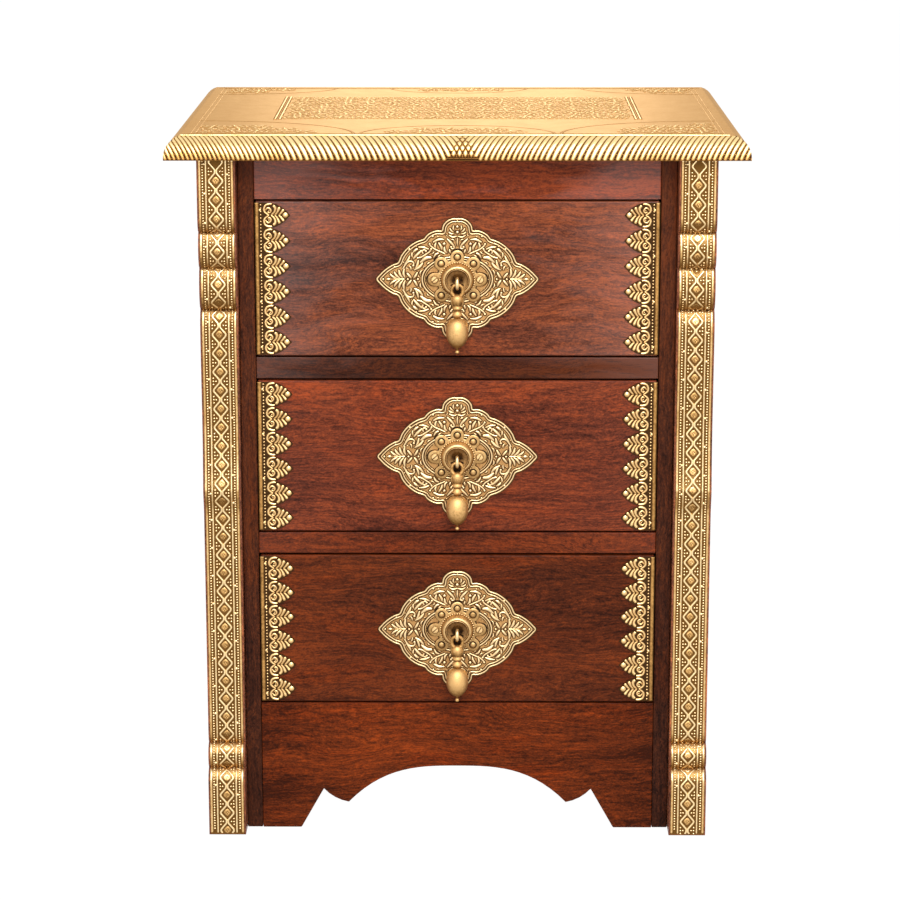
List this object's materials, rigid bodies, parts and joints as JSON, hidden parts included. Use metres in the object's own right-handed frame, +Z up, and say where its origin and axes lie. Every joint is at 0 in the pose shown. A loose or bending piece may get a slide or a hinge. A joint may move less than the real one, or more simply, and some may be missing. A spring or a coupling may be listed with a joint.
{
  "type": "bedside chest of drawers",
  "caption": "Bedside chest of drawers in dark wood, with embossed brass over its moulded top and profiled front posts, brass lace on the sliding drawers and swinging drop pulls.",
  "frame": {"origin": "on the floor under the middle of the top", "axes": "+Z up, drawers open towards -Y, +X to the right in the picture"},
  "size_m": [0.5, 0.4, 0.63],
  "materials": {
    "rosewood": "gloss lacquer",
    "drawer_lining": "plain planed",
    "plywood": "plain",
    "sheet_brass": "embossed, antiqued",
    "cast_brass": "cast, antiqued"
  },
  "bodies": {
    "carcass": {"top_board": "rosewood", "apron": "rosewood", "lower_divider": "rosewood", "upper_divider": "rosewood", "top_rail": "rosewood", "left_front_post": "rosewood", "left_rear_post": "rosewood", "left_stile": "rosewood", "left_side_panel": "rosewood", "left_side_top_rail": "rosewood", "left_side_bottom_rail": "rosewood", "left_bottom_runner": "rosewood", "left_middle_runner": "rosewood", "left_top_runner": "rosewood", "right_front_post": "rosewood", "right_rear_post": "rosewood", "right_stile": "rosewood", "right_side_panel": "rosewood", "right_side_top_rail": "rosewood", "right_side_bottom_rail": "rosewood", "right_bottom_runner": "rosewood", "right_middle_runner": "rosewood", "right_top_runner": "rosewood", "top_brass_sheet": "sheet_brass", "left_post_brass": "sheet_brass", "right_post_brass": "sheet_brass", "back_panel": "plywood"},
    "bottom_drawer": {"bottom_drawer_front": "rosewood", "bottom_drawer_left_side": "drawer_lining", "bottom_drawer_right_side": "drawer_lining", "bottom_drawer_back": "drawer_lining", "bottom_drawer_floor": "plywood", "bottom_drawer_left_lace": "sheet_brass", "bottom_drawer_right_lace": "sheet_brass", "bottom_pull_plate": "sheet_brass", "bottom_pull_rosette": "cast_brass", "bottom_pull_split_pin": "cast_brass"},
    "bottom_pull": {"bottom_pull_drop": "cast_brass"},
    "middle_drawer": {"middle_drawer_front": "rosewood", "middle_drawer_left_side": "drawer_lining", "middle_drawer_right_side": "drawer_lining", "middle_drawer_back": "drawer_lining", "middle_drawer_floor": "plywood", "middle_drawer_left_lace": "sheet_brass", "middle_drawer_right_lace": "sheet_brass", "middle_pull_plate": "sheet_brass", "middle_pull_rosette": "cast_brass", "middle_pull_split_pin": "cast_brass"},
    "middle_pull": {"middle_pull_drop": "cast_brass"},
    "top_drawer": {"top_drawer_front": "rosewood", "top_drawer_left_side": "drawer_lining", "top_drawer_right_side": "drawer_lining", "top_drawer_back": "drawer_lining", "top_drawer_floor": "plywood", "top_drawer_left_lace": "sheet_brass", "top_drawer_right_lace": "sheet_brass", "top_pull_plate": "sheet_brass", "top_pull_rosette": "cast_brass", "top_pull_split_pin": "cast_brass"},
    "top_pull": {"top_pull_drop": "cast_brass"}
  },
  "joints": [
    {"name": "bottom_drawer_slide", "type": "slide", "parent": "carcass", "child": "bottom_drawer", "axis": [0, -1, 0], "range_m": [0, 0.25]},
    {"name": "bottom_pull_swing", "type": "hinge", "parent": "bottom_drawer", "child": "bottom_pull", "pos_m": [0, -0.184, 0.1849], "axis": [-1, 0, 0], "range_deg": [-5, 100]},
    {"name": "middle_drawer_slide", "type": "slide", "parent": "carcass", "child": "middle_drawer", "axis": [0, -1, 0], "range_m": [0, 0.25]},
    {"name": "middle_pull_swing", "type": "hinge", "parent": "middle_drawer", "child": "middle_pull", "pos_m": [0, -0.184, 0.3429], "axis": [-1, 0, 0], "range_deg": [-5, 100]},
    {"name": "top_drawer_slide", "type": "slide", "parent": "carcass", "child": "top_drawer", "axis": [0, -1, 0], "range_m": [0, 0.25]},
    {"name": "top_pull_swing", "type": "hinge", "parent": "top_drawer", "child": "top_pull", "pos_m": [0, -0.184, 0.5009], "axis": [-1, 0, 0], "range_deg": [-5, 100]}
  ]
}
